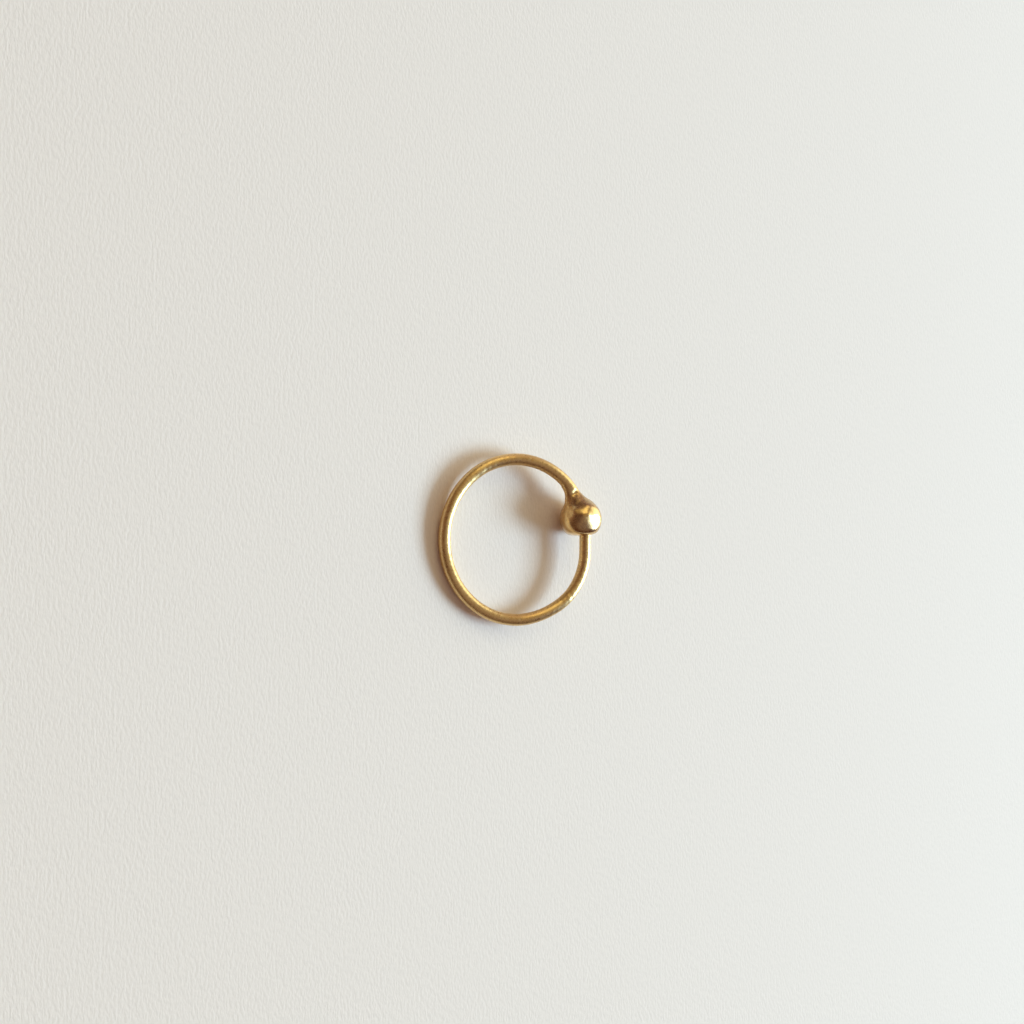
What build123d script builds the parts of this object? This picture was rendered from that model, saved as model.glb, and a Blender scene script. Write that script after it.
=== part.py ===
"""Nose ring: a round wire hoop with a solid bead soldered on its fixed end.

The free end of the wire springs into a blind socket in the bead, where a small gap lets it slide. The
solder joins the bead to the fixed end, so the whole ring is one solid.

The hoop is drawn flat in the XY plane about its own centre, with the bead near +X. It is then tilted
to the angle at which it lies on its side: it rests on the bead and on the wire opposite, and the bead
lifts its side of the hoop. The plane z = 0 is what it lies on, and the origin is there, at the centre
of the ring's box.
"""

from build123d import *
import math
import os

# Driving dimensions, in millimetres. Azimuths and headings are in degrees from +X.
WIRE_DIAMETER = 0.81  # 20 gauge
HOOP_INNER_DIAMETER = 10.0
BEAD_DIAMETER = 2.92
BEAD_AZIMUTH = 17.0
BEAD_INSET = 0.29  # from the wire's centreline in to the bead's centre
BEAD_FACE_DEPTH = 1.22  # from the bead's centre to the flat face that the free end enters
BEAD_FACE_ROUNDING = 0.3
SOLDER_FILLET_RADIUS = 1.1

# The wire follows a true circle, counterclockwise, from inside the bead to where the free end starts.
FIXED_END_AZIMUTH = 24.0
FREE_END_AZIMUTH = 280.7
# Then the free end bends at these radii, each until the wire has this heading.
FREE_END_BENDS = [
    # (radius, heading)
    (6.32, 32.4),
    (4.35, 90.0),
]
TIP_ROUNDING = 0.2
SOCKET_CLEARANCE = 0.045
SOCKET_DEPTH = 1.15
TIP_GAP = 0.15  # between the wire's tip and the bottom of the socket

# Derived sizes.
WIRE_RADIUS = WIRE_DIAMETER / 2
HOOP_RADIUS = HOOP_INNER_DIAMETER / 2 + WIRE_RADIUS
BEAD_RADIUS = BEAD_DIAMETER / 2
BEAD_FROM_CENTRE = HOOP_RADIUS - BEAD_INSET
RESTING_TILT = math.degrees(math.asin((BEAD_RADIUS - WIRE_RADIUS) / (BEAD_FROM_CENTRE + HOOP_RADIUS)))
UP = Vector(0, 0, 1)


def toward(azimuth):
    """Return the unit vector in the XY plane at this azimuth."""
    angle = math.radians(azimuth)
    return Vector(math.cos(angle), math.sin(angle), 0)


BEAD_CENTRE = toward(BEAD_AZIMUTH) * BEAD_FROM_CENTRE
BEAD_FACE_Y = BEAD_CENTRE.Y - BEAD_FACE_DEPTH


def bent_wire(centre, start, turn):
    """Return round wire that bends about centre, from start through turn degrees."""
    section = Plane(origin=start, x_dir=UP, z_dir=UP.cross(start - centre))
    return revolve(section * Circle(WIRE_RADIUS), Axis(centre, UP), turn)


def hoop_wire():
    """Return the wire's true circle, whose fixed end is buried in the bead."""
    start = toward(FIXED_END_AZIMUTH) * HOOP_RADIUS
    return bent_wire(Vector(0, 0, 0), start, FREE_END_AZIMUTH - FIXED_END_AZIMUTH)


def free_end():
    """Return the free end's pieces, its bends and its straight tip, and the tip's starting point."""
    pieces = []
    point = toward(FREE_END_AZIMUTH) * HOOP_RADIUS
    heading = FREE_END_AZIMUTH - 270
    for radius, next_heading in FREE_END_BENDS:
        centre = point + toward(heading + 90) * radius
        pieces.append(bent_wire(centre, point, next_heading - heading))
        point = centre - toward(next_heading + 90) * radius
        heading = next_heading
    tip_length = BEAD_FACE_Y + SOCKET_DEPTH - TIP_GAP - point.Y
    tip = extrude(Plane(origin=point, z_dir=(0, 1, 0)) * Circle(WIRE_RADIUS), tip_length)
    tip = fillet(tip.edges().sort_by(Axis.Y)[-1], TIP_ROUNDING)
    return pieces + [tip], point


def bead():
    """Return the solid ball, with its flat face turned towards the free end."""
    ball = Pos(BEAD_CENTRE) * Sphere(BEAD_RADIUS)
    beyond_face = Pos(BEAD_CENTRE.X, BEAD_FACE_Y - BEAD_RADIUS, 0) * Box(*[BEAD_DIAMETER] * 3)
    ball = ball - beyond_face
    return fillet(ball.edges().sort_by(Axis.Y)[0], BEAD_FACE_ROUNDING)


def soldered_bead(wire):
    """Return the wire with the bead on its fixed end and a fillet of solder round the joint."""
    joined = wire + bead()
    seams = joined.edges().filter_by(GeomType.BSPLINE)
    seam = seams.sort_by_distance(toward(FIXED_END_AZIMUTH + BEAD_AZIMUTH) * HOOP_RADIUS)[0]
    return fillet(seam, SOLDER_FILLET_RADIUS)


def socket(centre_x):
    """Return the drilled hole to cut from the bead, centred on this x."""
    mouth = Plane(origin=(centre_x, BEAD_FACE_Y - BEAD_RADIUS, 0), z_dir=(0, 1, 0))
    return extrude(mouth * Circle(WIRE_RADIUS + SOCKET_CLEARANCE), BEAD_RADIUS + SOCKET_DEPTH)


def ring():
    """Return the whole ring, flat in the XY plane."""
    free_pieces, tip_start = free_end()
    joined = soldered_bead(hoop_wire()) - socket(tip_start.X)
    for piece in free_pieces:
        joined = joined + piece
    return joined


def laid_down(shape):
    """Return the ring tilted as it lies on its side, on z = 0 and centred on the origin."""
    hinge_line = Axis((0, 0, 0), toward(BEAD_AZIMUTH - 90))
    tilted = shape.rotate(hinge_line, RESTING_TILT)
    box = tilted.bounding_box()
    return Pos(-box.center().X, -box.center().Y, -box.min.Z) * tilted


def main():
    """Write the ring's one sub-part."""
    os.makedirs("parts", exist_ok=True)
    beaded_hoop = laid_down(ring())
    export_step(beaded_hoop, "parts/beaded_hoop.step")


if __name__ == "__main__":
    main()
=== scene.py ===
"""Looks of a handmade gold nose ring that lies on a sheet of paper in the light of a window.

The ring is a hoop of round wire. A melted bead is soldered on its fixed end, and the free end of the
wire stands in a socket drilled in the bead's flat face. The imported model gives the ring's place, and
one swept mesh with the waviness, lumps and solder of the real thing stands for its single node.
"""

from __future__ import annotations

import logging
import math
from dataclasses import dataclass, field
from enum import Enum

import bpy
import numpy as np
from mathutils import Matrix, Vector

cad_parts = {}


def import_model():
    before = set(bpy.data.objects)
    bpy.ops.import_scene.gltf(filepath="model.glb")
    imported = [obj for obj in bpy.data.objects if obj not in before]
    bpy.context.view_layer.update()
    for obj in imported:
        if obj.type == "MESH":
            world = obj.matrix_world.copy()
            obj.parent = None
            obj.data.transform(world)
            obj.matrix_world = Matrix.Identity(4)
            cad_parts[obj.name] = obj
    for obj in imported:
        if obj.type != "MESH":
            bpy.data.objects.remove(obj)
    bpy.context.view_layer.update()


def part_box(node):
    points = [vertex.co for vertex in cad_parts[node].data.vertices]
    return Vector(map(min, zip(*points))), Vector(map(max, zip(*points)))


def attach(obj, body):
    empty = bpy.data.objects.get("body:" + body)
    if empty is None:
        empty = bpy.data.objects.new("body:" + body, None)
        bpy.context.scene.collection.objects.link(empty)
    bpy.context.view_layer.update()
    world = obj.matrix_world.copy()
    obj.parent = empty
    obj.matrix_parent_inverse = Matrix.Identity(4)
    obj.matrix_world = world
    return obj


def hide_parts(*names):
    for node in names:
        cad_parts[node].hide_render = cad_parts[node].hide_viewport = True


log = logging.getLogger("nose_ring")

MM = 0.001
NODE = "beaded_hoop"
SWEEP_MAP = "round_and_along"


# ---------------------------------------------------------------------------------------------------
# Shape of the ring
# ---------------------------------------------------------------------------------------------------


def heading_vector(heading: np.ndarray | float) -> np.ndarray:
    """Return unit vectors in the ring's plane with these headings.

    Args:
        heading: One or more angles from +X, in degrees.

    Returns:
        An array whose last axis holds x, y and z.
    """
    angle = np.radians(heading)
    return np.stack([np.cos(angle), np.sin(angle), np.zeros_like(angle)], axis=-1)


def direction(azimuth: float, elevation: float) -> Vector:
    """Return a unit vector, as seen from the ring.

    Args:
        azimuth: Its angle from +X, in degrees.
        elevation: Its angle above the paper, in degrees.

    Returns:
        The vector.
    """
    a, e = math.radians(azimuth), math.radians(elevation)
    return Vector((math.cos(e) * math.cos(a), math.cos(e) * math.sin(a), math.sin(e)))


@dataclass(frozen=True)
class RingSizes:
    """Sizes of the ring flat in its own plane, with the hoop's centre at 0, 0, in metres and degrees."""

    wire_radius: float = 0.405 * MM
    hoop_radius: float = 5.405 * MM
    bead_radius: float = 1.46 * MM
    bead_azimuth: float = 17.0
    bead_inset: float = 0.29 * MM
    face_depth: float = 1.22 * MM
    fixed_end_azimuth: float = 24.0
    free_end_azimuth: float = -79.3
    # The radius of each bend, and the heading that it ends with.
    free_end_bends: tuple[tuple[float, float], ...] = ((6.32 * MM, 32.4), (4.35 * MM, 90.0))
    tip_rounding: float = 0.2 * MM
    tip_gap: float = 0.15 * MM
    socket_radius: float = 0.45 * MM
    socket_depth: float = 1.15 * MM
    socket_lip: float = 0.04 * MM
    neck_azimuth: float = 47.0

    @property
    def bead_centre(self) -> np.ndarray:
        """The bead's centre in the ring's plane."""
        return heading_vector(self.bead_azimuth) * (self.hoop_radius - self.bead_inset)

    @property
    def face_y(self) -> float:
        """The height, along the ring's own Y, of the bead's flat face."""
        return float(self.bead_centre[1]) - self.face_depth

    @property
    def tip_y(self) -> float:
        """The height, along the ring's own Y, of the wire's free tip inside the socket."""
        return self.face_y + self.socket_depth - self.tip_gap

    @property
    def tilt(self) -> float:
        """The angle in radians at which the ring lies on its bead and on the wire opposite."""
        lift = self.bead_radius - self.wire_radius
        return math.asin(lift / (2 * self.hoop_radius - self.bead_inset))


class Placement:
    """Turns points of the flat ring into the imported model's frame."""

    def __init__(self, sizes: RingSizes, lowest: Vector, highest: Vector) -> None:
        """Work out where the ring lies.

        Args:
            sizes: The ring's sizes.
            lowest: The lowest corner of the CAD node's box.
            highest: The highest corner of the CAD node's box.
        """
        hinge_line = Vector(heading_vector(sizes.bead_azimuth - 90))
        self.turn = np.array(Matrix.Rotation(sizes.tilt, 3, hinge_line))
        normal = self.turn[:, 2]
        # How far the round hoop reaches from its centre along each axis of the frame.
        reach = [sizes.hoop_radius * math.sqrt(1 - n * n) + sizes.wire_radius for n in normal]
        self.hoop_centre = np.array((lowest.x + reach[0], highest.y - reach[1], lowest.z + reach[2]))

    def points(self, flat: np.ndarray) -> np.ndarray:
        """Return flat points, whose last axis holds x, y and z, in the model's frame."""
        return flat @ self.turn.T + self.hoop_centre


class Spine:
    """The line down the middle of the metal, from the wire's free tip round the hoop into the bead."""

    STEP = 0.004 * MM
    LEAST_STEP = 0.00004 * MM  # two points nearer than this, where spans meet, are one
    LEAST_SAMPLES = 8

    def __init__(self, sizes: RingSizes) -> None:
        """Lay the line out, span by span.

        Args:
            sizes: The ring's sizes.
        """
        self.sizes = sizes
        spans = [*reversed(self._free_end()), self._hoop(), self._into_bead()]
        points = np.concatenate([span[0] for span in spans])
        headings = np.concatenate([span[1] for span in spans])
        steps = np.linalg.norm(np.diff(points, axis=0), axis=1)
        keep = np.concatenate([[True], steps > self.LEAST_STEP])
        self._points, self._headings = points[keep], headings[keep]
        steps = np.linalg.norm(np.diff(self._points, axis=0), axis=1)
        self._along = np.concatenate([[0.0], np.cumsum(steps)])
        self.length = float(self._along[-1])
        neck = heading_vector(sizes.neck_azimuth) * sizes.hoop_radius
        self.neck_start = float(self._along[np.argmin(np.linalg.norm(self._points - neck, axis=1))])

    def _count(self, length: float) -> int:
        """Return how many samples a span of this length takes."""
        return max(self.LEAST_SAMPLES, int(length / self.STEP))

    def _free_end(self) -> list[tuple[np.ndarray, np.ndarray]]:
        """Lay out the free end, from the hoop out to the tip.

        It is bent from the hoop outward, but each span runs the other way, as the spine does.

        Returns:
            Its spans, each of points and headings.
        """
        sizes, spans = self.sizes, []
        point = heading_vector(sizes.free_end_azimuth) * sizes.hoop_radius
        heading = sizes.free_end_azimuth + 90
        for radius, next_heading in sizes.free_end_bends:
            centre = point + heading_vector(heading + 90) * radius
            turned = np.linspace(heading, next_heading, self._count(radius))
            arc = centre - heading_vector(turned + 90) * radius
            spans.append((arc[::-1], turned[::-1] - 180))
            point, heading = arc[-1], next_heading
        rise = np.linspace(sizes.tip_y, point[1], self._count(sizes.tip_y - point[1]))
        straight = np.stack([np.full_like(rise, point[0]), rise, np.zeros_like(rise)], axis=-1)
        spans.append((straight, np.full_like(rise, heading - 180)))
        return spans

    def _hoop(self) -> tuple[np.ndarray, np.ndarray]:
        """Lay out the true circle, clockwise from the free end to the neck.

        Returns:
            Its points and headings.
        """
        sizes = self.sizes
        end = sizes.neck_azimuth - 360
        turn = math.radians(sizes.free_end_azimuth - end)
        azimuth = np.linspace(sizes.free_end_azimuth, end, self._count(turn * sizes.hoop_radius))
        return heading_vector(azimuth) * sizes.hoop_radius, azimuth - 90

    def _into_bead(self) -> tuple[np.ndarray, np.ndarray]:
        """Lay out the smooth curve that leaves the hoop at the neck and ends at the bead's centre.

        Returns:
            Its points and headings.
        """
        sizes = self.sizes
        start = heading_vector(sizes.neck_azimuth) * sizes.hoop_radius
        end = sizes.bead_centre
        gap = float(np.linalg.norm(end - start))
        pull = gap / 3
        first = start + heading_vector(sizes.neck_azimuth - 90) * pull
        second = end - heading_vector(-90.0) * pull
        t = np.linspace(0, 1, self._count(gap))[:, None]
        points = (1 - t) ** 3 * start + 3 * (1 - t) ** 2 * t * first + 3 * (1 - t) * t**2 * second
        points = points + t**3 * end
        slope = np.gradient(points, axis=0)
        headings = np.degrees(np.arctan2(slope[:, 1], slope[:, 0])) - 360  # to run on from the hoop's
        return points, headings

    def at(self, along: np.ndarray) -> tuple[np.ndarray, np.ndarray]:
        """Return the points and headings at these distances from the tip.

        Args:
            along: Distances along the line, in metres.

        Returns:
            The points, and the headings in degrees.
        """
        axes = [np.interp(along, self._along, self._points[:, i]) for i in range(3)]
        return np.stack(axes, axis=-1), np.interp(along, self._along, self._headings)


@dataclass(frozen=True)
class Lump:
    """A soft bump, or a dent if its height is negative, that melting and filing left on the metal.

    The place is in the flat ring, in millimetres, as are the height and how far the lump spreads.
    """

    place: tuple[float, float, float]
    height: float
    spread: float


@dataclass(frozen=True)
class TarnishAndShadePatch:
    """A soft dark patch placed like a lump: flame tarnish, and painted shade of the gold's dark reflections.
    """

    place: tuple[float, float, float]
    strength: float
    spread: float


@dataclass(frozen=True)
class MeltedBall:
    """The bead's own shape: round below, and above a fat cushion that slumped as it melted."""

    shift: tuple[float, float, float] = (0.07 * MM, 0.0, -0.11 * MM)
    lean: tuple[float, float] = (177.0, 74.0)  # the azimuth and elevation that the cushion's top faces
    half_height: float = 1.47 * MM
    half_width: float = 1.43 * MM
    half_length: float = 1.53 * MM
    squareness: float = 2.9
    round_below: float = -1.45 * MM
    slumped_above: float = 0.2 * MM

    def distance(self, points: np.ndarray, centre: np.ndarray, radius: float) -> np.ndarray:
        """Return how far points stand outside the ball, negative inside.

        Args:
            points: Points of the flat ring, whose last axis holds x, y and z.
            centre: The bead's centre.
            radius: The bead's radius where it is round.

        Returns:
            The distances, in metres.
        """
        apart = points - centre
        ball = np.linalg.norm(apart, axis=-1) - radius
        apart = apart - np.array(self.shift)
        top = np.array(direction(*self.lean))
        across = np.cross(top, (0.0, 0.0, 1.0))
        across = across / np.linalg.norm(across)
        along = np.cross(top, across)
        girth = np.hypot(apart @ across / self.half_width, apart @ along / self.half_length)
        rise = np.abs(apart @ top) / self.half_height
        cushion = ((girth**self.squareness + rise**self.squareness) ** (1 / self.squareness) - 1) * radius
        share = np.clip((points[..., 2] - self.round_below) / (self.slumped_above - self.round_below), 0, 1)
        share = share * share * (3 - 2 * share)
        return ball * (1 - share) + cushion * share


@dataclass(frozen=True)
class MeltedMetal:
    """The outer skin of the bead, the solder and the wire's fixed end, as a signed distance."""

    sizes: RingSizes
    ball: MeltedBall = MeltedBall()
    solder_reach: float = 0.72 * MM
    face_rounding: float = 0.3 * MM
    halvings: int = 30  # how often the search for the skin halves its step
    lumps: tuple[Lump, ...] = (
        Lump((3.45, 2.90, 0.00), 0.24, 0.60),  # solder that ran inside the hoop
        Lump((5.65, 2.80, 0.20), 0.06, 0.40),  # solder outside it
        Lump((5.75, 1.70, 0.65), -0.16, 1.50),  # the broad worn slope of the outer shoulder
        Lump((4.35, 1.65, 1.65), 0.20, 0.65),  # the inner shoulder
        Lump((5.40, 1.30, 1.15), -0.09, 0.60),  # a flat on the outer shoulder
        Lump((3.95, 2.35, 0.90), -0.08, 0.65),  # the waist between the solder and the bead
        Lump((4.20, 2.70, 0.50), 0.04, 0.35),  # a drop of solder on the neck
        Lump((4.80, 2.35, 1.15), 0.03, 0.30),  # solder that ran onto the bead's top
        Lump((4.25, 1.85, 1.40), 0.02, 0.16),  # two low swellings on the bead's top
        Lump((4.70, 1.80, 1.45), 0.02, 0.16),
        Lump((3.95, 2.00, 1.10), -0.02, 0.15),  # a nick in the fold
        Lump((4.00, 2.60, 0.70), 0.02, 0.15),  # a smaller drop beside it
        Lump((4.20, 3.25, 0.30), -0.09, 0.23),  # a dent where the solder thins out on the wire
        Lump((3.50, 1.80, 0.75), -0.05, 0.28),  # the hollow below the fold
        Lump((3.90, 1.95, 0.90), 0.10, 0.36),  # a fold of solder on the inner shoulder
    )

    def distance(self, points: np.ndarray) -> np.ndarray:
        """Return how far points of the flat ring stand outside the metal, negative inside.

        Args:
            points: Points whose last axis holds x, y and z.

        Returns:
            The distances, in metres.
        """
        joined = self._smooth_least(self._wire(points), self._bead(points), self.solder_reach)
        for lump in self.lumps:
            apart = np.linalg.norm(points - np.array(lump.place) * MM, axis=-1)
            joined = joined - lump.height * MM * np.exp(-((apart / (lump.spread * MM)) ** 2))
        return joined

    def _wire(self, points: np.ndarray) -> np.ndarray:
        """Measure to the near half of the hoop's wire, which ends inside the bead.

        Args:
            points: Points whose last axis holds x, y and z.

        Returns:
            The distances, negative inside the wire.
        """
        sizes = self.sizes
        azimuth = np.degrees(np.arctan2(points[..., 1], points[..., 0]))
        nearest = np.clip(azimuth, sizes.fixed_end_azimuth, 180)
        centre = heading_vector(nearest) * sizes.hoop_radius
        return np.linalg.norm(points - centre, axis=-1) - sizes.wire_radius

    def _bead(self, points: np.ndarray) -> np.ndarray:
        """Measure to the melted ball cut off at its flat face, with the edge rounded.

        Args:
            points: Points whose last axis holds x, y and z.

        Returns:
            The distances, negative inside the bead.
        """
        ball = self.ball.distance(points, self.sizes.bead_centre, self.sizes.bead_radius)
        beyond_face = self.sizes.face_y - points[..., 1]
        return -self._smooth_least(-ball, -beyond_face, self.face_rounding)

    @staticmethod
    def _smooth_least(a: np.ndarray, b: np.ndarray, reach: float) -> np.ndarray:
        """Return the lesser of two distances, blended where they differ by less than reach."""
        share = np.maximum(reach - np.abs(a - b), 0) / reach
        return np.minimum(a, b) - share**2 * reach / 4

    def skin(self, origins: np.ndarray, rays: np.ndarray, farthest: float) -> np.ndarray:
        """Return how far along each ray from inside the metal its skin lies.

        Args:
            origins: Where the rays start, inside the metal.
            rays: Their unit directions.
            farthest: A distance that is outside the metal on every ray.

        Returns:
            The distances along the rays.
        """
        near = np.zeros(rays.shape[:-1])
        far = np.full(rays.shape[:-1], farthest)
        for _ in range(self.halvings):
            middle = (near + far) / 2
            inside = self.distance(origins + rays * middle[..., None]) < 0
            near = np.where(inside, middle, near)
            far = np.where(inside, far, middle)
        return (near + far) / 2


@dataclass(frozen=True)
class Waviness:
    """Small unevenness left by drawing, bending and polishing the metal by hand, as added sines."""

    seed: int = 11
    wire_waves: int = 26
    wire_height: float = 0.0013 * MM
    wire_lengths: tuple[float, float] = (0.35 * MM, 4.0 * MM)
    bead_waves: int = 40
    bead_height: float = 0.002 * MM
    bead_lengths: tuple[float, float] = (0.55 * MM, 2.2 * MM)
    most_crests: int = 3  # how many crests a wave has round the wire, at most
    falling_off: float = 0.35  # how quickly the wire's shorter waves grow lower
    crowding: float = 4.0  # how many of the bead's waves add up fully

    def along_wire(self, along: np.ndarray, angle: np.ndarray) -> np.ndarray:
        """Work out the wire's extra radius.

        Args:
            along: Distances along the wire, in metres.
            angle: Angles round it, in radians.

        Returns:
            The extra radius at each.
        """
        dice = np.random.default_rng(self.seed)
        shortest, longest = self.wire_lengths
        total = np.zeros(np.broadcast(along, angle).shape)
        for _ in range(self.wire_waves):
            length = shortest * (longest / shortest) ** dice.random()
            crests = int(dice.integers(0, self.most_crests + 1))
            phase = dice.random() * 2 * math.pi
            size = self.wire_height * (length / longest) ** self.falling_off
            total = total + size * np.sin(2 * math.pi * along / length + crests * angle + phase)
        return total

    def over_bead(self, points: np.ndarray) -> np.ndarray:
        """Work out the bead's extra height.

        Args:
            points: Points whose last axis holds x, y and z.

        Returns:
            The extra height at each.
        """
        dice = np.random.default_rng(self.seed + 1)
        shortest, longest = self.bead_lengths
        total = np.zeros(points.shape[:-1])
        for _ in range(self.bead_waves):
            length = shortest * (longest / shortest) ** dice.random()
            ray = dice.normal(size=3)
            ray = ray / np.linalg.norm(ray) * 2 * math.pi / length
            phase = dice.random() * 2 * math.pi
            size = self.bead_height * (length / longest) / math.sqrt(self.bead_waves / self.crowding)
            total = total + size * np.sin(points @ ray + phase)
        return total


@dataclass
class Rows:
    """Rings of mesh points in order along the metal, with what the finishes need to know there."""

    points: list[np.ndarray] = field(default_factory=list)
    along: list[float] = field(default_factory=list)
    beadness: list[float] = field(default_factory=list)

    def add(self, points: np.ndarray, along: float, beadness: float) -> None:
        """Add one ring of points.

        Args:
            points: The ring, by column.
            along: Its distance along the spine, in metres.
            beadness: From 0 on the wire to 1 on the bead.
        """
        self.points.append(points)
        self.along.append(along)
        self.beadness.append(beadness)


@dataclass
class BeadedHoop:
    """The ring's one piece of metal: the free end, the hoop, the solder, the bead and its socket."""

    sizes: RingSizes
    placement: Placement
    metal: MeltedMetal
    waviness: Waviness = Waviness()
    tarnish_and_shade_patches: tuple[TarnishAndShadePatch, ...] = (
        # Dark patches: tarnish and painted shade on the neck, and a painted dark reflection on the bead's
        # top.
        TarnishAndShadePatch((4.30, 2.70, 0.60), 1.0, 0.60),  # across the neck
        TarnishAndShadePatch((4.80, 2.45, 1.00), 0.9, 0.35),  # where the neck meets the bead
        TarnishAndShadePatch((3.95, 1.50, 1.15), 0.5, 0.35),  # beside the fold
        TarnishAndShadePatch((4.55, 0.95, 1.30), 0.75, 0.60),  # painted dark reflection on the bead's top
    )
    columns: int = 128
    wire_row: float = 0.085 * MM
    bead_row: float = 0.045 * MM
    tip_shares: tuple[float, ...] = (0.0, 0.35, 0.7)  # rings on the flat middle of the tip
    tip_steps: int = 8
    smooth_tip: float = 1.5 * MM  # over this length the wire's waviness grows from nothing
    trial_rings: int = 500  # rings that measure the bead's skin before the even ones are laid
    ray_reach: float = 2.4  # in bead radii, farther than any lump
    solder_share: float = 0.8  # of the way from the neck to the bead's centre, all of it bead after that
    level_lip: float = 0.35  # of the way from there to the lip, without waviness at its end
    lip_steps: int = 5
    wall_steps: int = 13
    bottom_shares: tuple[float, ...] = (0.66, 0.33, 0.0)

    def __post_init__(self) -> None:
        """Lay out the spine and the angles of a ring of points."""
        self.spine = Spine(self.sizes)
        self.angle = np.arange(self.columns) * 2 * math.pi / self.columns

    def build(self) -> bpy.types.Object:
        """Lay rings of points along the metal, from the free tip to the socket's bottom, and join them.

        Returns:
            The finished mesh object, in place.
        """
        rows = Rows()
        self._add_tip(rows)
        self._add_wire(rows)
        self._add_bead(rows)
        self._add_socket(rows)
        return self._mesh(rows)

    def _rays(self, heading: np.ndarray, lean: np.ndarray) -> np.ndarray:
        """Return rays for rings round the spine.

        Args:
            heading: The spine's heading at each ring, in degrees.
            lean: How far each ring's rays lean forward from square to the spine, in degrees.

        Returns:
            Unit vectors, by ring and column.
        """
        forward = heading_vector(heading)[:, None, :]
        side = heading_vector(heading + 90)[:, None, :]
        up = np.array((0.0, 0.0, 1.0))
        square = side * np.cos(self.angle)[None, :, None] + up * np.sin(self.angle)[None, :, None]
        lean = np.radians(lean)[:, None, None]
        return square * np.cos(lean) + forward * np.sin(lean)

    def _add_tip(self, rows: Rows) -> None:
        """Add the rounded tip of the free end, from its middle out.

        Args:
            rows: The rings so far, which are none.
        """
        sizes = self.sizes
        flat_radius = sizes.wire_radius - sizes.tip_rounding
        profile = [(0.0, share * flat_radius) for share in self.tip_shares]
        for turn in np.linspace(0, math.pi / 2, self.tip_steps + 1)[:-1]:
            depth = sizes.tip_rounding * (1 - math.cos(turn))
            profile.append((depth, flat_radius + sizes.tip_rounding * math.sin(turn)))
        for depth, radius in profile:
            point, heading = self.spine.at(np.array([depth]))
            ray = self._rays(heading, np.zeros(1))[0]
            rows.add(point + ray * radius, depth, 0.0)

    def _add_wire(self, rows: Rows) -> None:
        """Add the wire from its tip to where the solder starts.

        Args:
            rows: The rings so far, which end at the tip's edge.
        """
        start = self.sizes.tip_rounding
        count = round((self.spine.neck_start - start) / self.wire_row)
        along = np.linspace(start, self.spine.neck_start, count, endpoint=False)
        points, headings = self.spine.at(along)
        rays = self._rays(headings, np.zeros(count))
        settled = np.clip((along - start) / self.smooth_tip, 0, 1)[:, None]
        radius = self.waviness.along_wire(along[:, None], self.angle[None, :]) * settled
        rings = points[:, None, :] + rays * (self.sizes.wire_radius + radius)[..., None]
        for ring, distance in zip(rings, along):
            rows.add(ring, float(distance), 0.0)

    def _bead_rings(self, travel: np.ndarray) -> tuple[np.ndarray, np.ndarray, np.ndarray]:
        """Return rings of points over the solder and the bead, down to the socket's lip.

        Args:
            travel: From 0 at the neck's start, through 1 at the bead's centre, to 2 at the lip.

        Returns:
            The rings, the distance of each along the spine, and how much of each is bead.
        """
        sizes = self.sizes
        down = np.clip(travel - 1, 0, 1)
        along = self.spine.neck_start + np.clip(travel, 0, 1) * (self.spine.length - self.spine.neck_start)
        origins, headings = self.spine.at(along)
        lip = sizes.socket_radius + sizes.socket_lip
        last_lean = 90 - math.degrees(math.atan(lip / sizes.face_depth))
        lean = last_lean * down
        shift = self.spine.at(np.zeros(1))[0][0, 0] - sizes.bead_centre[0]
        eased = down * down * (3 - 2 * down)
        origins = origins + np.outer(eased * shift, (1.0, 0.0, 0.0))
        rays = self._rays(headings, lean)
        reach = self.metal.skin(origins[:, None, :], rays, self.ray_reach * sizes.bead_radius)
        rings = origins[:, None, :] + rays * reach[..., None]
        beadness = np.clip(travel / self.solder_share, 0, 1)
        beadness = beadness**2 * (3 - 2 * beadness)
        level = np.clip((2 - travel) / self.level_lip, 0, 1)[:, None]
        wire = self.waviness.along_wire(along[:, None], self.angle[None, :])
        bead = self.waviness.over_bead(rings) * level
        extra = wire * (1 - beadness[:, None]) + bead * beadness[:, None]
        return rings + rays * extra[..., None], along, beadness

    def _add_bead(self, rows: Rows) -> None:
        """Add the solder and the bead, in rings spaced evenly over their skin.

        Args:
            rows: The rings so far, which end where the solder starts.
        """
        travel = np.linspace(0, 2, self.trial_rings)
        rings = self._bead_rings(travel)[0]
        steps = np.linalg.norm(np.diff(rings, axis=0), axis=-1)
        covered = np.concatenate([[0.0], np.cumsum(steps.mean(axis=1))])
        count = round(covered[-1] / self.bead_row)
        travel = np.interp(np.linspace(0, covered[-1], count), covered, travel)
        rings, along, beadness = self._bead_rings(travel)
        for ring, distance, share in zip(rings, along, beadness):
            rows.add(ring, float(distance), float(share))

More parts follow.
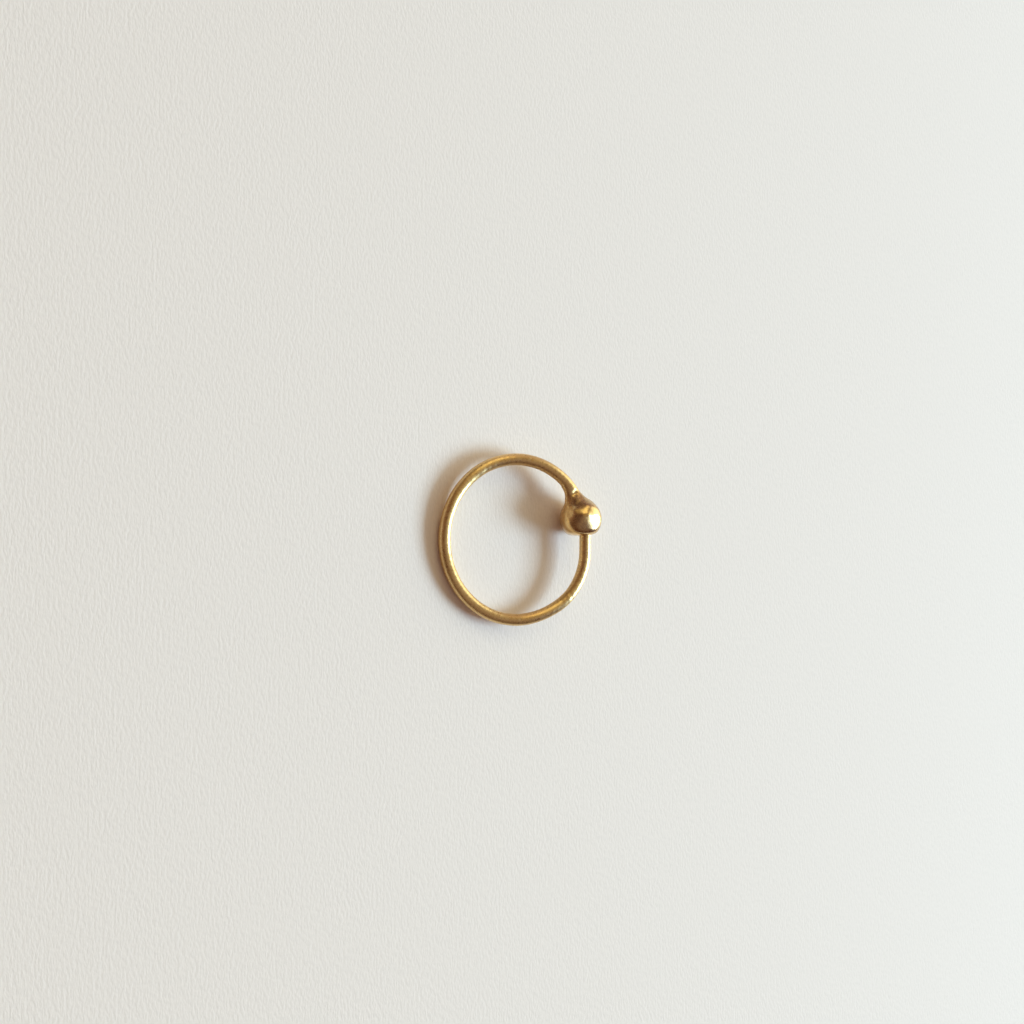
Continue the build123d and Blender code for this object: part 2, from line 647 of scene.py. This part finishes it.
    def _add_socket(self, rows: Rows) -> None:
        """Add the socket's rounded lip, its wall and its bottom.

        Args:
            rows: The rings so far, which end at the lip on the bead's flat face.
        """
        sizes = self.sizes
        lip_ring = rows.points[-1]
        lip_y = lip_ring[:, 1]
        axis_x = self.spine.at(np.zeros(1))[0][0, 0]
        spoke = lip_ring - np.stack([np.full(self.columns, axis_x), lip_y, np.zeros(self.columns)], -1)
        spoke = spoke / np.linalg.norm(spoke, axis=-1)[:, None]
        along = rows.along[-1]
        for turn in np.linspace(0, math.pi / 2, self.lip_steps + 1)[1:]:
            radius = sizes.socket_radius + sizes.socket_lip * (1 - math.sin(turn))
            height = lip_y + sizes.socket_lip * (1 - math.cos(turn))
            rows.add(self._socket_ring(axis_x, height, spoke * radius), along, 1.0)
        bottom = sizes.face_y + sizes.socket_depth
        for share in np.linspace(0, 1, self.wall_steps + 1)[1:]:
            height = lip_y + sizes.socket_lip + (bottom - lip_y - sizes.socket_lip) * share
            rows.add(self._socket_ring(axis_x, height, spoke * sizes.socket_radius), along, 1.0)
        for share in self.bottom_shares:
            height = np.full(self.columns, bottom)
            rows.add(self._socket_ring(axis_x, height, spoke * sizes.socket_radius * share), along, 1.0)

    def _socket_ring(self, axis_x: float, height: np.ndarray, spoke: np.ndarray) -> np.ndarray:
        """Return a ring of points about the socket's axis at these heights."""
        return np.stack([axis_x + spoke[:, 0], height, spoke[:, 2]], axis=-1)

    def _mesh(self, rows: Rows) -> bpy.types.Object:
        """Join the rows, and close both ends with a single point.

        Args:
            rows: All the rings of points, from the tip to the socket's bottom.

        Returns:
            The mesh object, in the scene.
        """
        inner = rows.points[1:-1]
        ends = [rows.points[0].mean(axis=0), rows.points[-1].mean(axis=0)]
        flat = np.concatenate([np.stack(inner).reshape(-1, 3), np.stack(ends)])
        mesh = bpy.data.meshes.new("gold_ring")
        mesh.from_pydata(self.placement.points(flat).tolist(), [], self._faces(len(inner)))
        mesh.update()
        self._orient_outward(mesh)
        self._write_attributes(mesh, rows)
        # The painted shade and the tarnish, stored for the gold's colour.
        tarnish_and_shade_mask = mesh.attributes.new("tarnish_and_shade_mask", "FLOAT", "POINT").data
        tarnish_and_shade_mask.foreach_set("value", self._tarnish_and_shade(flat).astype(np.float32))
        self._write_sweep_map(mesh, rows)
        mesh.shade_smooth()
        piece = bpy.data.objects.new("gold_ring", mesh)
        bpy.context.scene.collection.objects.link(piece)
        return piece

    def _faces(self, rings: int) -> list[tuple[int, ...]]:
        """List the faces between neighbouring rings, and the fans that close both ends.

        Args:
            rings: How many rings there are, before the single points at the tip and in the socket.

        Returns:
            The numbers of each face's points.
        """
        columns, faces = self.columns, []
        for row in range(rings - 1):
            for column in range(columns):
                after = (column + 1) % columns
                here, there = row * columns, (row + 1) * columns
                faces.append((here + column, here + after, there + after, there + column))
        tip, bottom = rings * columns, rings * columns + 1
        last_ring = (rings - 1) * columns
        for column in range(columns):
            after = (column + 1) % columns
            faces.append((tip, after, column))
            faces.append((bottom, last_ring + column, last_ring + after))
        return faces

    def _tarnish_and_shade(self, points: np.ndarray) -> np.ndarray:
        """Work out how far the gold is darkened by tarnish and by painted shade.

        Args:
            points: Points of the flat ring.

        Returns:
            From 0 where it is not darkened to 1 in the middle of a dark patch.
        """
        clean = np.ones(len(points))
        for patch in self.tarnish_and_shade_patches:
            apart = np.linalg.norm(points - np.array(patch.place) * MM, axis=-1)
            clean = clean * (1 - patch.strength * np.exp(-((apart / (patch.spread * MM)) ** 2)))
        return 1 - clean

    @staticmethod
    def _orient_outward(mesh: bpy.types.Mesh) -> None:
        """Turn the faces to look outward.

        Args:
            mesh: The closed skin.
        """
        outward = 0.0
        for face in mesh.polygons:
            outward += face.center.dot(face.normal) * face.area
        if outward < 0:
            mesh.flip_normals()

    def _write_attributes(self, mesh: bpy.types.Mesh, rows: Rows) -> None:
        """Store where each point lies along and round the metal, and how much of it is bead.

        Args:
            mesh: The skin.
            rows: The rings that it was made from.
        """
        along = np.repeat(rows.along[1:-1], self.columns)
        turn = np.tile(self.angle, len(rows.along) - 2)
        sweep = np.stack(
            [along, self.sizes.wire_radius * np.cos(turn), self.sizes.wire_radius * np.sin(turn)], axis=-1
        )
        ends = np.array([[rows.along[0], 0, 0], [rows.along[-1], 0, 0]])
        sweep = np.concatenate([sweep, ends]).astype(np.float32)
        beadness = np.concatenate([np.repeat(rows.beadness[1:-1], self.columns), [0.0, 1.0]])
        mesh.attributes.new("sweep", "FLOAT_VECTOR", "POINT").data.foreach_set("vector", sweep.ravel())
        bead_data = mesh.attributes.new("beadness", "FLOAT", "POINT").data
        bead_data.foreach_set("value", beadness.astype(np.float32))

    def _write_sweep_map(self, mesh: bpy.types.Mesh, rows: Rows) -> None:
        """Map the skin with U round the metal and V along it, so that the polish has a direction.

        Args:
            mesh: The skin.
            rows: The rings that it was made from.
        """
        layer = mesh.uv_layers.new(name=SWEEP_MAP)
        corner = np.empty(len(mesh.loops), dtype=np.int64)
        mesh.loops.foreach_get("vertex_index", corner)
        starts = np.empty(len(mesh.polygons), dtype=np.int64)
        mesh.polygons.foreach_get("loop_start", starts)
        sizes = np.diff(np.append(starts, len(corner)))
        column = corner % self.columns
        highest = np.repeat(np.maximum.reduceat(column, starts), sizes)
        column = np.where(highest - column > self.columns / 2, column + self.columns, column)
        along = np.append(np.repeat(rows.along[1:-1], self.columns), (rows.along[0], rows.along[-1]))
        turn = column / self.columns
        flat = np.stack([turn, along[corner] / (2 * math.pi * self.sizes.wire_radius)], axis=-1)
        layer.data.foreach_set("uv", flat.astype(np.float32).ravel())


# ---------------------------------------------------------------------------------------------------
# Finishes
# ---------------------------------------------------------------------------------------------------


class NodeTree:
    """A short way to add and link shader nodes."""

    def __init__(self, tree: bpy.types.NodeTree) -> None:
        """Work on this node tree."""
        self.tree = tree

    def add(self, kind: str, inputs: dict | None = None, **settings: object) -> bpy.types.Node:
        """Add a node.

        Args:
            kind: The node's type name.
            inputs: Input names or numbers, with a socket to link or a value to set.
            **settings: The node's own properties.

        Returns:
            The new node.
        """
        node = self.tree.nodes.new(kind)
        for name, value in settings.items():
            setattr(node, name, value)
        for name, value in (inputs or {}).items():
            socket = node.inputs[name]
            if isinstance(value, bpy.types.NodeSocket):
                self.tree.links.new(value, socket)
            else:
                socket.default_value = value
        return node

    def math(self, operation: str, *values: object, clamp: bool = False) -> bpy.types.NodeSocket:
        """Return the output of a math node with these inputs."""
        inputs = dict(enumerate(values))
        return self.add("ShaderNodeMath", inputs, operation=operation, use_clamp=clamp).outputs[0]

    def ramp(self, value: bpy.types.NodeSocket, low: float, high: float,
             to: tuple[float, float] = (0.0, 1.0)) -> bpy.types.NodeSocket:
        """Return value eased from one range onto another."""
        inputs = {"Value": value, "From Min": low, "From Max": high, "To Min": to[0], "To Max": to[1]}
        return self.add("ShaderNodeMapRange", inputs, interpolation_type="SMOOTHSTEP").outputs[0]

    def group(self, tree: bpy.types.NodeTree, inputs: dict) -> bpy.types.Node:
        """Return a node that holds a node group, with these inputs."""
        return self.add("ShaderNodeGroup", inputs, node_tree=tree)

    def blend(self, share: bpy.types.NodeSocket, first: object, second: tuple) -> bpy.types.NodeSocket:
        """Mix two colours.

        Args:
            share: How much of the second colour there is.
            first: The first colour, plain or from a socket.
            second: The second colour.

        Returns:
            The mixed colour.
        """
        node = self.tree.nodes.new("ShaderNodeMix")
        node.data_type = "RGBA"
        colours = [socket for socket in node.inputs if socket.type == "RGBA"]
        if isinstance(first, bpy.types.NodeSocket):
            self.tree.links.new(first, colours[0])
        else:
            colours[0].default_value = (*first, 1.0)
        colours[1].default_value = (*second, 1.0)
        self.tree.links.new(share, node.inputs["Factor"])
        return next(socket for socket in node.outputs if socket.type == "RGBA")


def new_group(
    name: str, inputs: dict[str, float | None], outputs: dict[str, str]
) -> tuple[bpy.types.NodeTree, NodeTree, bpy.types.Node, bpy.types.Node]:
    """Return an empty shader node group with its sockets.

    Args:
        name: The group's name.
        inputs: Input names, with a default number, or None for a vector.
        outputs: Output names, with a socket type.

    Returns:
        The group, its node helper, its input node and its output node.
    """
    group = bpy.data.node_groups.new(name, "ShaderNodeTree")
    for label, default in inputs.items():
        kind = "NodeSocketVector" if default is None else "NodeSocketFloat"
        socket = group.interface.new_socket(label, in_out="INPUT", socket_type=kind)
        if default is not None:
            socket.default_value = default
    for label, kind in outputs.items():
        group.interface.new_socket(label, in_out="OUTPUT", socket_type=kind)
    nodes = NodeTree(group)
    return group, nodes, nodes.add("NodeGroupInput"), nodes.add("NodeGroupOutput")


def hairline_group() -> bpy.types.NodeTree:
    """Return the group that draws fine hairlines, such as scratches or paper fibres.

    A line runs wherever a noise that is drawn out one way crosses its middle value.

    Returns:
        A group with a Lines output, from 0 between the lines to 1 in them.
    """
    axis = (0.2, 0.1, 1.0)  # almost upright
    middle, widest = 0.5, 0.05
    defaults = {"Vector": None, "Density": 4000.0, "Stretch": 0.06, "Turn": 0.0, "Fineness": 0.5}
    group, nodes, given, result = new_group("hairlines", defaults, {"Lines": "NodeSocketFloat"})
    turned = nodes.add("ShaderNodeVectorRotate", {
        "Vector": given.outputs["Vector"], "Axis": axis, "Angle": given.outputs["Turn"],
    })
    squeeze = nodes.add("ShaderNodeCombineXYZ", {"X": given.outputs["Stretch"], "Y": 1.0, "Z": 1.0})
    drawn = nodes.add("ShaderNodeVectorMath", {
        0: turned.outputs[0], 1: squeeze.outputs[0],
    }, operation="MULTIPLY")
    noise = nodes.add("ShaderNodeTexNoise", {
        "Vector": drawn.outputs[0], "Scale": given.outputs["Density"], "Detail": 2.0, "Roughness": 0.6,
    })
    ridge = nodes.math("ABSOLUTE", nodes.math("SUBTRACT", noise.outputs[0], middle))
    width = nodes.math("MULTIPLY", given.outputs["Fineness"], widest)
    line = nodes.math("SUBTRACT", 1.0, nodes.math("DIVIDE", ridge, width), clamp=True)
    nodes.tree.links.new(line, result.inputs["Lines"])
    return group


def mottle_group() -> bpy.types.NodeTree:
    """Return the group of soft blotches that vary a colour, a gloss or a height.

    Returns:
        A group with Broad and Fine outputs, each about 0 to 1.
    """
    finer = 7.0  # how many fine blotches lie side by side on a broad one
    edges = (0.3, 0.7)  # the values of the noise that become 0 and 1
    defaults = {"Vector": None, "Size": 1.0 * MM}
    outputs = {"Broad": "NodeSocketFloat", "Fine": "NodeSocketFloat"}
    group, nodes, given, result = new_group("mottle", defaults, outputs)
    density = nodes.math("DIVIDE", 1.0, given.outputs["Size"])
    broad = nodes.add("ShaderNodeTexNoise", {
        "Vector": given.outputs["Vector"], "Scale": density, "Detail": 1.5, "Roughness": 0.5,
    })
    fine = nodes.add("ShaderNodeTexNoise", {
        "Vector": given.outputs["Vector"], "Scale": nodes.math("MULTIPLY", density, finer), "Detail": 3.0,
        "Roughness": 0.6,
    })
    nodes.tree.links.new(nodes.ramp(broad.outputs[0], *edges), result.inputs["Broad"])
    nodes.tree.links.new(nodes.ramp(fine.outputs[0], *edges), result.inputs["Fine"])
    return group


@dataclass(frozen=True)
class LineSet:
    """One set of hairlines: how dense, how drawn out, how turned and how wide they are."""

    density: float  # of the noise across the lines, in cells to the metre
    stretch: float  # the noise's density along them, as a share of that
    turn: float  # in radians
    fineness: float


class Hairlines(Enum):
    """The sets of fine lines that the finishes hold."""

    DRAWN = LineSet(9000.0, 0.03, 0.0, 1.2)  # left along the wire by the drawplate
    WORN = LineSet(5200.0, 0.05, 0.9, 0.55)  # scratches of wear
    WORN_BACK = LineSet(4300.0, 0.04, 2.3, 0.5)  # scratches that cross them
    STRANDS = LineSet(2300.0, 0.16, math.pi / 2, 1.6)  # the longest fibres of the paper

    def draw(self, nodes: NodeTree, group: bpy.types.NodeTree,
             where: bpy.types.NodeSocket) -> bpy.types.NodeSocket:
        """Draw this set of lines.

        Args:
            nodes: The material's nodes.
            group: The hairline group.
            where: The coordinates that the lines run over.

        Returns:
            The lines, from 0 between them to 1 in them.
        """
        lines = self.value
        return nodes.group(group, {
            "Vector": where, "Density": lines.density, "Stretch": lines.stretch, "Turn": lines.turn,
            "Fineness": lines.fineness,
        }).outputs["Lines"]


@dataclass(frozen=True)
class GoldFinish:
    """Yellow gold, drawn, hand-polished and worn.

    The wire keeps the fine lines of its drawing, which spread a reflection across it but not along it.
    The melted bead is smoother, with pits. A film of wax from the polishing softens every highlight.
    """

    name: str = "polished_gold"
    colour: tuple[float, float, float] = (0.79, 0.54, 0.225)
    worn_colour: tuple[float, float, float] = (0.68, 0.435, 0.165)
    # the colour of tarnish and of painted shade on the neck and the bead's top
    tarnish_and_shade_colour: tuple[float, float, float] = (0.34, 0.205, 0.115)
    wire_gloss: tuple[float, float] = (0.25, 0.33)
    bead_gloss: tuple[float, float] = (0.17, 0.25)
    brushed: float = 0.75
    film: float = 0.62
    film_roughness: float = 0.32
    scratch_depth: float = 0.00014 * MM
    scratch_dullness: float = 0.06
    drawn_share: float = 0.6  # how deep the drawn lines are beside the scratches
    blotch: float = 1.4 * MM
    pit: float = 0.7 * MM
    pit_depth: float = 0.0008 * MM
    pitting: tuple[float, float] = (0.12, 0.6)  # how much of that depth is on the wire and on the bead
    patchiness: tuple[float, float] = (0.5, 1.25)  # how much weaker and stronger a dark patch of tarnish and painted shade is in places

    def make(self, hairlines: bpy.types.NodeTree, mottle: bpy.types.NodeTree) -> bpy.types.Material:
        """Return the material.

        Args:
            hairlines: The hairline group.
            mottle: The mottle group.

        Returns:
            The gold material.
        """
        material = bpy.data.materials.new(self.name)
        material.use_nodes = True
        nodes = NodeTree(material.node_tree)
        shader = material.node_tree.nodes["Principled BSDF"]
        shader.inputs["Metallic"].default_value = 1.0
        shader.inputs["Anisotropic"].default_value = self.brushed
        shader.inputs["Coat Weight"].default_value = self.film
        shader.inputs["Coat Roughness"].default_value = self.film_roughness
        place = nodes.add("ShaderNodeTexCoord").outputs["Object"]
        beadness = nodes.add("ShaderNodeAttribute", attribute_name="beadness").outputs["Fac"]
        blotches = nodes.group(mottle, {"Vector": place, "Size": self.blotch}).outputs
        pits = nodes.group(mottle, {"Vector": place, "Size": self.pit}).outputs["Fine"]
        marks = self._marks(nodes, hairlines, place, beadness)
        looks = {
            "Tangent": nodes.add("ShaderNodeTangent", direction_type="UV_MAP", uv_map=SWEEP_MAP).outputs[0],
            "Base Color": self._base_colour(nodes, blotches["Broad"], pits),
            "Roughness": self._roughness(nodes, blotches["Fine"], beadness, marks),
            "Normal": self._relief(nodes, pits, beadness, marks),
        }
        for name, socket in looks.items():
            nodes.tree.links.new(socket, shader.inputs[name])
        return material

    def _base_colour(self, nodes: NodeTree, blotches: bpy.types.NodeSocket,
                     pits: bpy.types.NodeSocket) -> bpy.types.NodeSocket:
        """Mix clean and worn gold, and darken it with tarnish and painted shade.

        Args:
            nodes: The material's nodes.
            blotches: Broad blotches of wear.
            pits: Small pits, which hold some of the wear and of the tarnish and painted shade.

        Returns:
            The colour.
        """
        worn = nodes.math("MULTIPLY", blotches, 0.5)
        worn = nodes.math("ADD", worn, nodes.math("MULTIPLY", pits, 0.5))
        # Tarnish and painted shade: darker on the neck and the bead's top.
        tarnish_and_shade_mask = nodes.add("ShaderNodeAttribute", attribute_name="tarnish_and_shade_mask").outputs["Fac"]
        uneven = nodes.ramp(pits, 0.0, 1.0, to=self.patchiness)
        tarnish_and_shade_mask = nodes.math("MULTIPLY", tarnish_and_shade_mask, uneven, clamp=True)
        clean = nodes.blend(worn, self.colour, self.worn_colour)
        return nodes.blend(tarnish_and_shade_mask, clean, self.tarnish_and_shade_colour)

    def _marks(self, nodes: NodeTree, hairlines: bpy.types.NodeTree, place: bpy.types.NodeSocket,
               beadness: bpy.types.NodeSocket) -> bpy.types.NodeSocket:
        """Draw the scratches of wear, and the drawplate's lines on the wire alone.

        Args:
            nodes: The material's nodes.
            hairlines: The hairline group.
            place: The coordinates that the scratches run over.
            beadness: From 0 on the wire to 1 on the bead.

        Returns:
            The marks, from 0 between them to 1 in them.
        """
        sweep = nodes.add("ShaderNodeAttribute", attribute_name="sweep").outputs["Vector"]
        drawn = Hairlines.DRAWN.draw(nodes, hairlines, sweep)
        worn = Hairlines.WORN.draw(nodes, hairlines, place)
        scratches = nodes.math("MAXIMUM", worn, Hairlines.WORN_BACK.draw(nodes, hairlines, place))
        on_wire = nodes.math("MULTIPLY", drawn, nodes.math("SUBTRACT", 1.0, beadness))
        return nodes.math("MAXIMUM", scratches, nodes.math("MULTIPLY", on_wire, self.drawn_share))

    def _roughness(self, nodes: NodeTree, blotches: bpy.types.NodeSocket, beadness: bpy.types.NodeSocket,
                   marks: bpy.types.NodeSocket) -> bpy.types.NodeSocket:
        """Vary the polish between the wire and the bead, in blotches, and dull it in the marks.

        Args:
            nodes: The material's nodes.
            blotches: Fine blotches.
            beadness: From 0 on the wire to 1 on the bead.
            marks: The scratches and lines.

        Returns:
            The roughness.
        """
        wire = nodes.ramp(blotches, 0.0, 1.0, to=self.wire_gloss)
        bead = nodes.ramp(blotches, 0.0, 1.0, to=self.bead_gloss)
        gloss = nodes.math("ADD", wire, nodes.math("MULTIPLY", nodes.math("SUBTRACT", bead, wire), beadness))
        return nodes.math("ADD", gloss, nodes.math("MULTIPLY", marks, self.scratch_dullness))

    def _relief(self, nodes: NodeTree, pits: bpy.types.NodeSocket, beadness: bpy.types.NodeSocket,
                marks: bpy.types.NodeSocket) -> bpy.types.NodeSocket:
        """Press the pits into the gold and cut the marks in it.

        Args:
            nodes: The material's nodes.
            pits: The pits' heights.
            beadness: From 0 on the wire to 1 on the bead.
            marks: The scratches and lines.

        Returns:
            The normal.
        """
        soft = nodes.add("ShaderNodeBump", {
            "Strength": nodes.ramp(beadness, 0.0, 1.0, to=self.pitting), "Distance": self.pit_depth,
            "Height": pits,
        })
        return nodes.add("ShaderNodeBump", {
            "Strength": 1.0, "Distance": self.scratch_depth, "Height": marks, "Normal": soft.outputs[0],
        }, invert=True).outputs[0]


@dataclass(frozen=True)
class PaperFinish:
    """Uncoated white paper with a faint upright grain."""

    name: str = "white_paper"
    colour: tuple[float, float, float] = (0.98, 0.90, 0.835)
    dulled: float = 0.965  # how much darker the paper is between its fibres
    roughness: float = 0.95
    shine: float = 0.1
    fibre: float = 0.16 * MM
    streak: float = 0.42  # how much slower the fibres vary along the sheet's Y
    blotch: float = 1.6 * MM
    relief: float = 0.0065 * MM
    fuzz: float = 0.12  # the share of the relief that is fine fuzz
    strands: float = 0.25  # and that is long strands

    def make(self, hairlines: bpy.types.NodeTree, mottle: bpy.types.NodeTree) -> bpy.types.Material:
        """Return the material.

        Args:
            hairlines: The hairline group.
            mottle: The mottle group.

        Returns:
            The paper material.
        """
        material = bpy.data.materials.new(self.name)
        material.use_nodes = True
        nodes = NodeTree(material.node_tree)
        shader = material.node_tree.nodes["Principled BSDF"]
        shader.inputs["Roughness"].default_value = self.roughness
        shader.inputs["Specular IOR Level"].default_value = self.shine
        place = nodes.add("ShaderNodeTexCoord").outputs["Object"]
        drawn_out = nodes.add("ShaderNodeVectorMath", {
            0: place, 1: (1.0, self.streak, 1.0),
        }, operation="MULTIPLY")
        fibres = nodes.group(mottle, {"Vector": drawn_out.outputs[0], "Size": self.fibre})
        blotches = nodes.group(mottle, {"Vector": place, "Size": self.blotch})
        strands = Hairlines.STRANDS.draw(nodes, hairlines, place)
        fuzz = nodes.math("MULTIPLY", fibres.outputs["Fine"], self.fuzz)
        height = nodes.math("ADD", fibres.outputs["Broad"], fuzz)
        height = nodes.math("ADD", height, nodes.math("MULTIPLY", strands, self.strands))
        bump = nodes.add("ShaderNodeBump", {"Strength": 1.0, "Distance": self.relief, "Height": height})
        nodes.tree.links.new(bump.outputs[0], shader.inputs["Normal"])
        share = nodes.math("MULTIPLY", blotches.outputs["Fine"], fibres.outputs["Broad"])
        tint = nodes.blend(share, self.colour, tuple(part * self.dulled for part in self.colour))
        nodes.tree.links.new(tint, shader.inputs["Base Color"])
        return material


# ---------------------------------------------------------------------------------------------------
# Stage, light and camera
# ---------------------------------------------------------------------------------------------------


@dataclass(frozen=True)
class PaperSheet:
    """The plain sheet that the ring lies on, which isn't part of the object."""

    width: float = 0.6

    def build(self, material: bpy.types.Material) -> bpy.types.Object:
        """Lay the sheet at the height of the ring's lowest point.

        Args:
            material: The paper's finish.

        Returns:
            The sheet.
        """
        half = self.width / 2
        mesh = bpy.data.meshes.new("paper")
        corners = [(-half, -half, 0), (half, -half, 0), (half, half, 0), (-half, half, 0)]
        mesh.from_pydata(corners, [], [(0, 1, 2, 3)])
        mesh.materials.append(material)
        sheet = bpy.data.objects.new("paper", mesh)
        bpy.context.scene.collection.objects.link(sheet)
        return sheet


@dataclass(frozen=True)
class SoftPanel:
    """A rectangular light that shines at the ring.

    It is placed by where it is seen from the ring. Its angles are in degrees and its distance in metres.
    """

    name: str
    azimuth: float
    elevation: float
    half_width: float
    half_height: float
    radiance: float
    colour: tuple[float, float, float]
    distance: float = 0.6

    def build(self) -> bpy.types.Object:
        """Make the light.

        Returns:
            The light, aimed at the ring.
        """
        lamp = bpy.data.lights.new(self.name, "AREA")
        lamp.shape = "RECTANGLE"
        lamp.size = 2 * self.distance * math.tan(math.radians(self.half_width))
        lamp.size_y = 2 * self.distance * math.tan(math.radians(self.half_height))
        lamp.energy = self.radiance * math.pi * lamp.size * lamp.size_y
        lamp.color = self.colour
        toward = direction(self.azimuth, self.elevation)
        panel = bpy.data.objects.new(self.name, lamp)
        panel.location = toward * self.distance
        panel.rotation_mode = "QUATERNION"
        panel.rotation_quaternion = toward.to_track_quat("Z", "Y")
        panel.visible_camera = False
        bpy.context.scene.collection.objects.link(panel)
        return panel


@dataclass(frozen=True)
class SkyGlow:
    """A soft round patch of light in the room, placed like a panel.

    It is even within its inner angle from the middle, and fades to nothing at its outer one.
    """

    azimuth: float
    elevation: float
    inner: float
    outer: float
    strength: float
    colour: tuple[float, float, float]


@dataclass(frozen=True)
class Room:
    """The dim room round the ring: a window, and soft patches of light on a dark ground."""

    window: SoftPanel = SoftPanel(
        name="window", azimuth=-10.5, elevation=29.5, half_width=12, half_height=8.5, radiance=28.7,
        colour=(0.555, 0.80, 1.0),
    )
    ground: tuple[float, float, float] = (0.12, 0.058, 0.04)
    glows: tuple[SkyGlow, ...] = (
        SkyGlow(18, 24, 10, 30, 2.0, (0.89, 1.0, 0.86)),  # the bright wall beside the window
        SkyGlow(5, 12, 10, 34, 0.95, (1.0, 0.80, 0.60)),  # its lower part
        SkyGlow(-4, 40, 10, 26, 0.36, (0.60, 0.85, 1.0)),  # the wall above the window
        SkyGlow(3, 63, 10, 34, 0.11, (1.0, 0.90, 0.40)),  # the ceiling over the window
        SkyGlow(84, 42, 6, 20, 1.25, (1.0, 0.95, 0.55)),  # a warm lamp
        SkyGlow(84, 50, 10, 44, 0.30, (1.0, 0.87, 0.47)),  # the ceiling that it lights
        SkyGlow(60, 10, 10, 40, 0.38, (1.0, 0.80, 0.75)),  # the low wall between the window and the lamp
        SkyGlow(-100, 66, 10, 44, 0.22, (0.95, 0.90, 0.85)),  # the ceiling on the other side
        SkyGlow(160, 4, 10, 46, 0.15, (1.0, 0.70, 0.55)),  # the low wall across from the window
    )

    def build(self) -> None:
        """Set the scene's world, and hang the window in it."""
        world = bpy.data.worlds.new("room")
        world.use_nodes = True
        bpy.context.scene.world = world
        nodes = NodeTree(world.node_tree)
        toward = nodes.add("ShaderNodeTexCoord").outputs["Generated"]
        total = None
        for glow in self.glows:
            aim = direction(glow.azimuth, glow.elevation)
            dot = nodes.add("ShaderNodeVectorMath", {0: toward, 1: aim}, operation="DOT_PRODUCT")
            low, high = math.cos(math.radians(glow.outer)), math.cos(math.radians(glow.inner))
            share = nodes.ramp(dot.outputs["Value"], low, high, to=(0.0, glow.strength))
            lit = nodes.add("ShaderNodeVectorMath", {0: glow.colour, "Scale": share}, operation="SCALE")
            before = self.ground if total is None else total
            total = nodes.add("ShaderNodeVectorMath", {0: before, 1: lit.outputs[0]}, operation="ADD")
            total = total.outputs[0]
        nodes.tree.links.new(total, world.node_tree.nodes["Background"].inputs["Color"])
        self.window.build()


@dataclass(frozen=True)
class RingCamera:
    """The camera, which looks down at the ring from the side away from the window."""

    lean_x: float = 32.5  # how far it leans from straight above towards -X
    lean_y: float = 3.5  # and towards -Y
    distance: float = 90 * MM
    field_width: float = 69.0 * MM  # what it sees across at that distance
    aim: tuple[float, float] = (-0.39 * MM, 1.85 * MM)  # from the hoop's centre, right and up in the view

    def build(self, hoop_centre: np.ndarray) -> bpy.types.Object:
        """Aim the camera near the hoop's centre.

        Args:
            hoop_centre: The centre, in the model's frame.

        Returns:
            The scene's camera.
        """
        back = Vector((-math.tan(math.radians(self.lean_x)), -math.tan(math.radians(self.lean_y)), 1))
        back.normalize()
        up = (Vector((0, 1, 0)) - back * back.y).normalized()
        right = up.cross(back)
        lens = bpy.data.cameras.new("camera")
        lens.sensor_width = 36
        lens.lens = lens.sensor_width * self.distance / self.field_width
        lens.clip_start = 1 * MM
        camera = bpy.data.objects.new("camera", lens)
        camera.rotation_mode = "QUATERNION"
        camera.rotation_quaternion = Matrix((right, up, back)).transposed().to_quaternion()
        target = Vector(hoop_centre) + right * self.aim[0] + up * self.aim[1]
        camera.location = target + back * self.distance
        bpy.context.scene.collection.objects.link(camera)
        bpy.context.scene.camera = camera
        return camera


def main() -> None:
    """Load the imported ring, build its looks, its stage and its light, and report each piece."""
    logging.basicConfig(level=logging.INFO, format="%(name)s: %(message)s")
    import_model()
    sizes = RingSizes()
    placement = Placement(sizes, *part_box(NODE))
    hairlines, mottle = hairline_group(), mottle_group()

    ring = BeadedHoop(sizes, placement, MeltedMetal(sizes)).build()
    ring.data.materials.append(GoldFinish().make(hairlines, mottle))
    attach(ring, "root")
    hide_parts(NODE)
    log.info("%s: %d faces", ring.name, len(ring.data.polygons))

    PaperSheet().build(PaperFinish().make(hairlines, mottle))
    Room().build()
    RingCamera().build(placement.hoop_centre)
    bpy.context.scene.view_settings.view_transform = "Standard"


if __name__ == "__main__":
    main()
